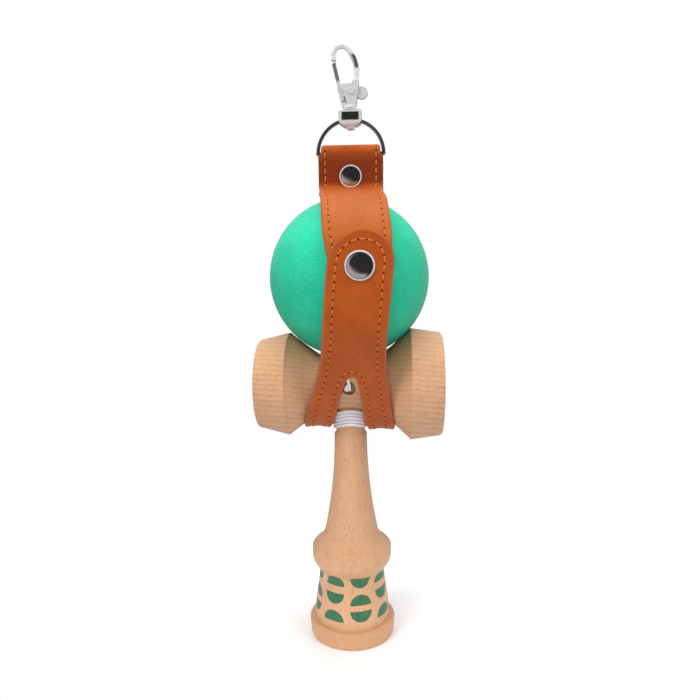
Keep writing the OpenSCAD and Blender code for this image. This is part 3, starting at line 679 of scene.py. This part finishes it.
def stitches(bm, strip, line, sizes, chance):
    """Thread and needle holes along a line of (s, x) points on a strip's face."""
    lengths = [0.0]
    for a, b in zip(line, line[1:]):
        lengths.append(lengths[-1] + math.dist(a, b))

    def at(distance):
        i = 0
        while i < len(lengths) - 2 and lengths[i + 1] < distance:
            i += 1
        u = (distance - lengths[i]) / max(lengths[i + 1] - lengths[i], TINY)
        return [p + (q - p) * u for p, q in zip(line[i], line[i + 1])]

    count = max(1, round(lengths[-1] * MM / sizes.stitch_step))
    step = lengths[-1] / count
    thread_size = Matrix.Diagonal((sizes.stitch_length / 2, THREAD_HALF * MM, THREAD_RISE * MM, 1.0))
    thread_size = thread_size @ Matrix.Rotation(math.pi / 2, 4, "Y")
    hole_size = Matrix.Diagonal((HOLE_R * MM, HOLE_R * MM, HOLE_DEPTH * MM, 1.0))
    for i in range(count):
        centre = at((i + 0.5) * step)
        ahead = at((i + 0.5) * step + 0.4)
        behind = at((i + 0.5) * step - 0.4)
        n = strip.normal(centre[0])
        along = (strip.point(*ahead, LEATHER_T) - strip.point(*behind, LEATHER_T)).normalized()
        along = (along + n.cross(along) * chance.uniform(-STITCH_TURN, STITCH_TURN)).normalized()
        turn = Matrix((along, n.cross(along).normalized(), n)).transposed().to_4x4()
        spot = Matrix.Translation(strip.point(*centre, LEATHER_T + STITCH_LIFT))
        bmesh.ops.create_uvsphere(bm, u_segments=8, v_segments=6, radius=1.0,
                                  matrix=spot @ turn @ thread_size)
        hole = at((i + 1) * step)
        n = strip.normal(hole[0])
        side = Vector((1, 0, 0))
        turn = Matrix((side, n.cross(side), n)).transposed().to_4x4()
        spot = Matrix.Translation(strip.point(*hole, LEATHER_T - STITCH_LIFT))
        made = bmesh.ops.create_uvsphere(bm, u_segments=8, v_segments=4, radius=1.0,
                                         matrix=spot @ turn @ hole_size)
        for face in {f for v in made["verts"] for f in v.link_faces}:
            face.material_index = 1


def curve_value(points, z):
    """Half width at a height, from points given from the top down."""
    if z >= points[0][1]:
        return points[0][0]
    for a, b in zip(points, points[1:]):
        if b[1] <= z <= a[1]:
            return a[0] + (b[0] - a[0]) * (a[1] - z) / max(a[1] - b[1], TINY)
    return points[-1][0]


def leg_edge(half, z):
    """The strap's outer edge from half at height z down to the end of a leg, as (half width, height)."""
    return [(p.x, p.y) for p in smooth_route([
        (half, z, 0), (FLAP_HALF, SARADO_Z + 16, 0), (FLAP_HALF + 1.9, SARADO_Z + 3.6, 0),
        (LEG_HALF, SARADO_Z - 13, 0), (LEG_HALF + 0.5, SARADO_Z - 20, 0)], 8)]


def fork_half(z):
    """Half width of the fork at a height: a pointed arch that opens out at its foot."""
    if z >= FORK_TOP_Z - 0.02:
        return 0.0
    half = FORK_SPREAD * math.sqrt(FORK_TOP_Z - max(z, FORK_FOOT_Z))
    return half + (FORK_FOOT_HALF - half) * ramp(-z, -FORK_FOOT_Z, FORK_FOOT_RISE - FORK_FOOT_Z)


def loop_half(z):
    """Half width of the loop, which narrows between the ring's wires."""
    return LID_HALF + (NECK_HALF - LID_HALF) * ramp(z, NECK_Z - 0.4, NECK_Z + 0.4)


def lean_angle(r):
    return math.degrees(math.asin((r - SADDLE_R) / (BALL_Z - SARADO_Z)))


def front_strip():
    lean = lean_angle(FLAP_R)
    low = bend(SARADO_Z, SADDLE_R, 270, 180 + lean, 30)
    high = bend(BALL_Z, FLAP_R, 180 + lean, 138, 70)
    slope = SNAP_X / (SNAP_Z - LEAN_Z)
    strip = Strip(low + straight(low[-1], high[0], 20) + high, lambda z: (z - LEAN_Z) * slope)
    edge = leg_edge(FLAP_END_R, SNAP_Z - 2)
    end = strip.find(FLAP_END_Z)

    def outer(s):
        if s > end:
            return math.sqrt(max(FLAP_END_R ** 2 - (s - end) ** 2, 0.01))
        return curve_value(edge, strip.height(s))

    strip.outer = outer
    strip.inner = lambda s: fork_half(strip.height(s))
    return strip, end


def back_strip():
    lean = lean_angle(BACK_R)
    low = bend(SARADO_Z, SADDLE_R, 270, 360 - lean, 30)
    high = bend(BALL_Z, BACK_R, -lean, 84, 80)
    corner_z = BALL_Z + BACK_R
    corner = [(SLIT + 0.9, corner_z + 0.1, 0.35, 0.94), (SLIT + 0.3, corner_z + 0.5, 0.7071, 0.7071),
              (SLIT, corner_z + 1.4, 0.98, 0.2), (SLIT, corner_z + 3, 1, 0), (SLIT, CLAMP_TOP_Z, 1, 0)]
    slope = LOOP_X / (BALL_Z - LEAN_Z)
    stations = low + straight(low[-1], high[0], 20) + high + corner + bend(BAR_Z, LOOP_R, -5, 90, 14)
    strip = Strip(stations, lambda z: min((z - LEAN_Z) * slope, LOOP_X))
    edge = leg_edge(LID_HALF, BALL_Z + 1)

    def outer(s):
        z = strip.height(s)
        return loop_half(z) if z > BALL_Z else curve_value(edge, z)

    strip.outer = outer
    strip.inner = lambda s: fork_half(strip.height(s))
    return strip


def tab_turn(z):
    """Angle over the ball from its top down to a height on the tab."""
    return math.acos(max(-1.0, min(1.0, (z - BALL_Z) / (TAB_R + LEATHER_T))))


def tab_lean(z):
    """The tab's middle moves sideways evenly along its arc over the ball."""
    start = tab_turn(CREASE_Z)
    share = max(0.0, tab_turn(z) - start) / (tab_turn(SNAP_Z) - start)
    return LOOP_X + (SNAP_X - LOOP_X) * share * ramp(CREASE_Z - z, 0.0, TAB_LEAN_EASE)


def tab_strip():
    loop = bend(BAR_Z, LOOP_R, 90, 185, 14)
    reach = TAB_R + LEATHER_T + CREASE_ROUND
    out = SLIT + LEATHER_T + CREASE_ROUND
    round_z = BALL_Z + math.sqrt(reach ** 2 - out ** 2)
    turn = math.acos(out / reach)
    hollow = []
    for i in range(CREASE_STEPS + 1):
        a = turn * i / CREASE_STEPS
        ny, nz = -math.cos(a), math.sin(a)
        back = CREASE_ROUND + LEATHER_T
        hollow.append((-out - ny * back, round_z - nz * back, ny, nz))
    end = 180 + math.degrees(math.asin(TAB_END_DROP / TAB_R))
    over_ball = bend(BALL_Z, TAB_R, 180 - math.degrees(turn), end, 80)
    stations = loop + [(-SLIT, CLAMP_TOP_Z, -1, 0)] + hollow + over_ball[1:]
    strip = Strip(stations, tab_lean)

    def outer(s):
        z = strip.height(s)
        left = strip.length[-1] - s
        half = loop_half(z) + (TAB_HALF - LID_HALF) * ramp(-z, -CREASE_Z - 1.5, 0.5 - CREASE_Z)
        half -= (TAB_HALF - TAB_END_HALF) * ramp(-left, -TAB_TAPER[1], -TAB_TAPER[0])
        if left < TAB_ROUND:
            half -= TAB_ROUND - math.sqrt(TAB_ROUND ** 2 - (TAB_ROUND - left) ** 2)
        return half

    strip.outer = outer
    strip.inner = lambda s: 0.0
    return strip


def fork_seam(strip, top, inset):
    """Line of stitches at one distance from the fork's edge, up one leg and down the other."""
    right = []
    for root in spaced(0.3, math.sqrt(top - 3), 0.15):
        s = top - root * root
        slope = (strip.inner(s + 0.03) - strip.inner(s - 0.03)) / 0.06
        size = math.hypot(1, slope)
        right.insert(0, (s - inset * slope / size, strip.inner(s) + inset / size))
    return right + [(top + inset, 0.0)] + [(s, -x) for s, x in reversed(right)]


def fork_rows(top):
    return spaced(0, top - 4, 1.2)[:-1] + spaced(top - 4, top + 0.6, 0.22)[:-1]


def sewn(name, strip, rows, hide, replaced):
    obj = finished(name, lambda bm: strip_mesh(bm, strip, rows), [hide])
    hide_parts(*replaced)
    return obj


def thread_of(name, strip, lines, sizes, chance, materials):
    def sew(bm):
        for line in lines:
            stitches(bm, strip, line, sizes, chance)

    obj = finished(name, sew, materials)
    return obj


def make_leather(sizes, colours):
    chance = random.Random(sizes.seed)
    hide = leather(colours)
    dull = [c * 0.8 for c in colours.thread]
    materials = [fibre("thread", colours.thread, dull), fibre("needle_hole", colours.hole, colours.hole)]
    inset = sizes.stitch_inset / MM
    flap_inset = sizes.flap_inset / MM

    strip, end = front_strip()
    top = strip.find(FORK_TOP_Z)
    rows = fork_rows(top) + spaced(top + 0.6, end, 1.3)
    rows += [end + FLAP_END_R * math.sin(math.radians(a)) for a in range(6, 90, 6)]
    rows += [end + FLAP_END_R * 0.998]
    reach = FLAP_END_R - flap_inset
    arch = [(end + reach * math.sin(math.radians(a)), reach * math.cos(math.radians(a)))
            for a in range(6, 175, 6)]
    right = [(s, strip.outer(s) - flap_inset) for s in spaced(3, end, 1.5)]
    lines = [right + arch + [(s, -x) for s, x in reversed(right)], fork_seam(strip, top, inset)]
    front = sewn("leather_front", strip, rows, hide,
                 ("strap_face", "strap_lining", "flap_face", "flap_lining"))
    for obj in (front, thread_of("stitching_front", strip, lines, sizes, chance, materials)):
        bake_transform(obj)

    strip = back_strip()
    top = strip.find(FORK_TOP_Z)
    last = strip.length[-1]
    corner = strip.find(BALL_Z + BACK_R - 0.3)
    rows = fork_rows(top) + spaced(top + 0.6, corner - 3, 1.4)[:-1] + spaced(corner - 3, last, 0.45)
    right = [(s, strip.outer(s) - inset) for s in spaced(3, strip.find(NECK_Z - 1), 1.5)]
    right += [(s, LID_HALF - inset) for s in spaced(strip.find(NECK_Z), last, 1.0)]
    lines = [right, [(s, -x) for s, x in right], fork_seam(strip, top, inset)]
    back = sewn("leather_back", strip, rows, hide, ("lid_face", "lid_lining"))
    for obj in (back, thread_of("stitching_back", strip, lines, sizes, chance, materials)):
        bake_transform(obj)

    strip = tab_strip()
    last = strip.length[-1]
    rows = spaced(0, 20, 0.4)[:-1] + spaced(20, last - TAB_ROUND, 1.2)
    rows += [last - TAB_ROUND * (1 - math.sin(math.radians(a))) for a in range(10, 91, 10)]
    neck = next(s for s in spaced(0, 10, 0.1) if strip.height(s) <= NECK_Z - 1)
    right = [(s, LID_HALF - inset) for s in spaced(0, neck, 1.0)]
    right += [(s, strip.outer(s) - inset) for s in spaced(neck + 1, last - inset, 1.0)]
    lines = [right + [(s, -x) for s, x in reversed(right)]]
    tab = sewn("leather_tab", strip, rows, hide, ("tab_face", "tab_lining"))
    for obj in (tab, thread_of("stitching_tab", strip, lines, sizes, chance, materials)):
        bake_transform(obj)


# String
def tube_mesh(bm, path, d, sides):
    """A round tube along a path in millimetres, with a UV map round it and along it, in diameters."""
    strand = bm.loops.layers.uv.new("strand")
    ring = bmesh.ops.create_circle(bm, segments=sides, radius=MM)["verts"]
    cap(bm, ring)
    spots = {}
    side = None
    run = 0.0
    for i, p in enumerate(path):
        t = (path[min(i + 1, len(path) - 1)] - path[max(i - 1, 0)]).normalized()
        if side is None:
            side = Vector((0, 0, 1)) if abs(t.z) < 0.9 else Vector((1, 0, 0))
        side = (side - t * side.dot(t)).normalized()
        across = t.cross(side)
        if i:
            run += (p - path[i - 1]).length
            ring = grow(bm, ring)
        for j, vert in enumerate(ring):
            a = 2 * math.pi * j / sides
            vert.co = (p + (side * math.cos(a) + across * math.sin(a)) * d / 2) * MM
            spots[vert] = (j, run / d)
    cap(bm, ring)
    for face in bm.faces:
        places = [spots[loop.vert] for loop in face.loops]
        at_seam = any(j == sides - 1 for j, along in places)
        for loop, (j, along) in zip(face.loops, places):
            loop[strand].uv = ((sides if at_seam and j == 0 else j) / sides, along)


def path_length(path):
    return sum((b - a).length for a, b in zip(path, path[1:]))


def knot_path():
    """An overhand knot in front of the cross piece's hole, with a short end."""
    size = (KNOT_R - STRING_D * 0.4) / 3
    loops = []
    for i in range(1, KNOT_STEPS):
        t = 2 * math.pi * i / KNOT_STEPS
        loops.append((KNOT_X + size * (math.sin(t) + 2 * math.sin(2 * t)),
                      KNOT_Y - size * 1.6 * math.sin(3 * t),
                      SARADO_Z - size * (math.cos(t) - 2 * math.cos(2 * t))))
    return smooth_route([(0, -6, SARADO_Z), (0, -8.5, SARADO_Z)] + loops, 3)


def make_string(colours):
    white = twisted_string(colours)
    knot = finished("string_knot_tied", lambda bm: tube_mesh(bm, knot_path(), STRING_D * 0.8, 8), [white])
    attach(knot, "ken")
    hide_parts("string_knot")

    winding = [Vector((-STRING_D, WINDING_R, WINDING_TOP_Z))]
    for i in range(TURN_STEPS * WINDING_TURNS + 1):
        a = math.radians(90 - 360 / TURN_STEPS * i)
        rise = FRONT_RISE * max(0.0, -math.sin(a)) ** 2
        winding.append(Vector((WINDING_R * math.cos(a), WINDING_R * math.sin(a),
                               WINDING_TOP_Z - WINDING_PITCH * i / TURN_STEPS + rise)))
    winding.append(Vector((STRING_D, WINDING_R, winding[-1].z)))
    wound = smooth_route(LEAD_ROUTE + [tuple(winding[0])], ROUTE_STEPS) + winding[1:]
    lower = finished("string_wound", lambda bm: tube_mesh(bm, wound, STRING_D, STRING_SIDES), [white])
    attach(lower, "ken")
    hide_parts("string_lead", "string_winding")
    path_length(wound) * MM
    [p * MM for p in wound]

    tail_end = Vector((0, 0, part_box("string_tail")[0][2] / MM))
    tail_path = [Vector(RUN_ROUTE[-1]).lerp(tail_end, i / TAIL_STEPS) for i in range(TAIL_STEPS + 1)]
    tail = finished("string_end", lambda bm: tube_mesh(bm, tail_path, STRING_D, STRING_SIDES), [white])
    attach(tail, "ball")
    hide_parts("string_tail")

    run = smooth_route([tuple(winding[-1])] + RUN_ROUTE, ROUTE_STEPS)
    upper = finished("string_up", lambda bm: tube_mesh(bm, run, STRING_D, STRING_SIDES), [white])
    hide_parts("string_run")
    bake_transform(upper)
    [c * MM for c in run[0]]
    path_length(run) * MM
    [p * MM for p in run]


# CAD pieces that keep their shape
def dress(names, material):
    for name in names:
        data = nodes[name].data
        data.materials.clear()
        data.materials.append(material)


def make_wood(colours):
    dress(["ken"], wood("beech_ken", colours, 2, True))
    dress(["sarado"], wood("beech_sarado", colours, 0))
    dress(["tama_bead"], wood("beech_bead", colours, 2))
    dress(["tama"], ball_paint(colours))


def hook_place(point):
    """From the hook's own frame, which has its origin in the ring's wire, to the part's."""
    turned = Matrix.Rotation(math.radians(-HOOK_LEAN), 3, "Y") @ Vector(point)
    return (turned + Vector((LOOP_X, 0, WIRE_TOP_Z))) * MM


def spring_mesh(bm):
    route = smooth_route(SPRING_ROUTE, 4)
    across = Vector((0, SPRING_W / 2, 0))
    edge = bm.edges.new([bm.verts.new(hook_place(route[0] + across * way)) for way in (-1, 1)])
    for a, b in zip(route, route[1:]):
        made = bmesh.ops.extrude_edge_only(bm, edges=[edge])["geom"]
        edge = next(item for item in made if isinstance(item, bmesh.types.BMEdge))
        bmesh.ops.translate(bm, verts=edge.verts, vec=hook_place(b) - hook_place(a))
    bmesh.ops.solidify(bm, geom=bm.faces[:], thickness=SPRING_T * MM)


def make_metal(colours):
    dress(["snap_socket", "snap_stud", "snap_post", "rivet_post"],
          nickel("nickel_polished", colours.nickel, 0.06))
    dress(["snap_cap"], cap_nickel("snap_cap", colours))
    dress(["rivet_cap"], cap_nickel("rivet_cap", colours))
    dress(["d_ring"], nickel("nickel_dark", colours.nickel_dark, 0.08, 0.88))
    dress(["swivel_eye"], swivel_nickel(colours))
    dress(["hook_body", "trigger_pin"], cast_nickel("nickel_hook", colours, -0.05))
    dress(["trigger"], cast_nickel("nickel_trigger", colours, 0.5))
    spring = finished("spring_leaf", spring_mesh, [nickel("nickel_spring", colours.nickel, 0.2)])
    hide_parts("trigger_spring")
    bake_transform(spring)


# Stage
FLOOR_HALF = 1.5
FLOOR_FADE = (0.13, 0.045)
FLOOR_COLOUR = (0.95, 0.95, 0.955)
AMBIENT = (0.26, 0.26, 0.27)
WHITE = (1.0, 1.0, 1.0)
ROOM_PALE = (0.95, 0.95, 0.95)
ROOM_DARK = (0.03, 0.028, 0.03)
ROOM_LOW = (0.50, 0.41, 0.43)
LIGHT_TARGET = (0, 0, 0.12)
LIGHTS = (
    ("key", (-0.45, -0.50, 0.60), (0.5, 0.5), 4.5),
    ("fill", (0.60, -0.35, 0.42), (0.5, 0.5), 2.4),
    ("front", (0.0, -0.60, 0.13), (0.2, 0.2), 1.15),
    ("top", (0.05, 0.1, 0.8), (0.6, 0.6), 5.0),
)
CAMERA_LENS = 31.7
CAMERA_AWAY = 0.236
CAMERA_UP = 0.1446
CAMERA_TURN = 3.4
CAMERA_TILT = 7.3
CAMERA_ROLL = -0.55


def area_light(name, place, size, power):
    data = bpy.data.lights.new(name, "AREA")
    data.shape = "RECTANGLE"
    data.size, data.size_y = size
    data.energy = power
    obj = bpy.data.objects.new(name, data)
    obj.location = place
    obj.rotation_euler = (Vector(LIGHT_TARGET) - Vector(place)).to_track_quat("-Z", "Y").to_euler()
    obj.visible_glossy = False
    bpy.context.scene.collection.objects.link(obj)
    return obj


def make_floor():
    """A pale disc of floor that fades out into the background."""
    g = new_graph("floor")
    x, y, z = g.place()
    away = (x * x + y * y).math("SQRT")
    pale = g.set(Base_Color=FLOOR_COLOUR, Roughness=0.95, Alpha=away.fade(*FLOOR_FADE))

    def spread(bm):
        bmesh.ops.create_grid(bm, x_segments=1, y_segments=1, size=FLOOR_HALF)

    return finished("floor", spread, [pale])


def make_world():
    """White behind the object, grey light on it, and for metal a pale room that is dark fore and aft."""
    world = bpy.data.worlds.new("studio")
    bpy.context.scene.world = world
    g = Graph(world, "BACKGROUND")
    x, y, z = g.split(g.node("ShaderNodeTexCoord", output="Generated"))
    ahead = x * 0.17 - y * 0.95 + z * 0.25
    dark = ahead.fade(0.12, 0.40).math("MAXIMUM", y.fade(0.9, 0.99))
    room = g.mix(dark, ROOM_PALE, ROOM_DARK)
    room = g.mix((z + x * 0.6).fade(-0.02, -0.55), room, ROOM_LOW)
    shine = g.node("ShaderNodeLightPath", output="Is Glossy Ray")
    seen = g.node("ShaderNodeLightPath", output="Is Camera Ray")
    through = g.node("ShaderNodeLightPath", output="Is Transmission Ray")
    light = g.mix(shine, AMBIENT, room)
    g.set(Color=g.mix(seen.math("MAXIMUM", through), light, WHITE))


def make_camera():
    data = bpy.data.cameras.new("camera")
    data.lens = CAMERA_LENS
    data.sensor_width = 36
    data.clip_start = 0.01
    camera = bpy.data.objects.new("camera", data)
    bpy.context.scene.collection.objects.link(camera)
    turn = math.radians(CAMERA_TURN)
    camera.matrix_world = (
        Matrix.Translation((CAMERA_AWAY * math.sin(turn), -CAMERA_AWAY * math.cos(turn), CAMERA_UP))
        @ Matrix.Rotation(turn, 4, "Z")
        @ Matrix.Rotation(math.radians(90 - CAMERA_TILT), 4, "X")
        @ Matrix.Rotation(math.radians(CAMERA_ROLL), 4, "Z")
    )
    bpy.context.scene.camera = camera


def make_stage():
    bpy.context.scene.view_settings.view_transform = "Standard"
    make_world()
    make_camera()
    make_floor()
    [area_light(*light) for light in LIGHTS]


class KENDAMA_OT_stage(bpy.types.Operator):
    """Floor, soft lights, white surroundings and camera."""

    bl_idname = "kendama.stage"
    bl_label = "Stage"

    def execute(self, context):
        make_stage()
        return {"FINISHED"}


class KENDAMA_OT_string(bpy.types.Operator):
    """Knot, winding and the run into the ball."""

    bl_idname = "kendama.string"
    bl_label = "String"

    def execute(self, context):
        make_string(context.scene.kendama_colours)
        return {"FINISHED"}


class KENDAMA_OT_wood(bpy.types.Operator):
    """Beech on the handle, cross piece and bead, paint on the ball."""

    bl_idname = "kendama.wood"
    bl_label = "Wood and ball"

    def execute(self, context):
        make_wood(context.scene.kendama_colours)
        return {"FINISHED"}


class KENDAMA_OT_leather(bpy.types.Operator):
    """Front flap, back strap with loop, tab, and their stitches."""

    bl_idname = "kendama.leather"
    bl_label = "Leather and stitches"

    def execute(self, context):
        make_leather(context.scene.kendama_sizes, context.scene.kendama_colours)
        return {"FINISHED"}


class KENDAMA_OT_metal(bpy.types.Operator):
    """Snap, rivet, ring, swivel, hook and its leaf spring."""

    bl_idname = "kendama.metal"
    bl_label = "Metal"

    def execute(self, context):
        make_metal(context.scene.kendama_colours)
        return {"FINISHED"}


class KENDAMA_PT_panel(bpy.types.Panel):
    """Sizes and colours, and a button for each group of pieces."""

    bl_idname = "KENDAMA_PT_panel"
    bl_label = "Kendama"
    bl_space_type = "VIEW_3D"
    bl_region_type = "UI"
    bl_category = "Kendama"

    def draw(self, context):
        for group in (context.scene.kendama_sizes, context.scene.kendama_colours):
            for key in group.__annotations__:
                self.layout.prop(group, key)
        for kind in ("stage", "string", "wood", "leather", "metal"):
            self.layout.operator("kendama." + kind)


CLASSES = (KendamaSizes, KendamaColours, KENDAMA_OT_stage, KENDAMA_OT_string, KENDAMA_OT_wood,
           KENDAMA_OT_leather, KENDAMA_OT_metal, KENDAMA_PT_panel)


def register():
    for kind in CLASSES:
        bpy.utils.register_class(kind)
    bpy.types.Scene.kendama_sizes = bpy.props.PointerProperty(type=KendamaSizes)
    bpy.types.Scene.kendama_colours = bpy.props.PointerProperty(type=KendamaColours)


def unregister():
    del bpy.types.Scene.kendama_colours
    del bpy.types.Scene.kendama_sizes
    for kind in reversed(CLASSES):
        bpy.utils.unregister_class(kind)


def main():
    register()
    bpy.ops.kendama.stage()
    bpy.ops.kendama.string()
    bpy.ops.kendama.wood()
    bpy.ops.kendama.leather()
    bpy.ops.kendama.metal()


if __name__ == "__main__":
    main()
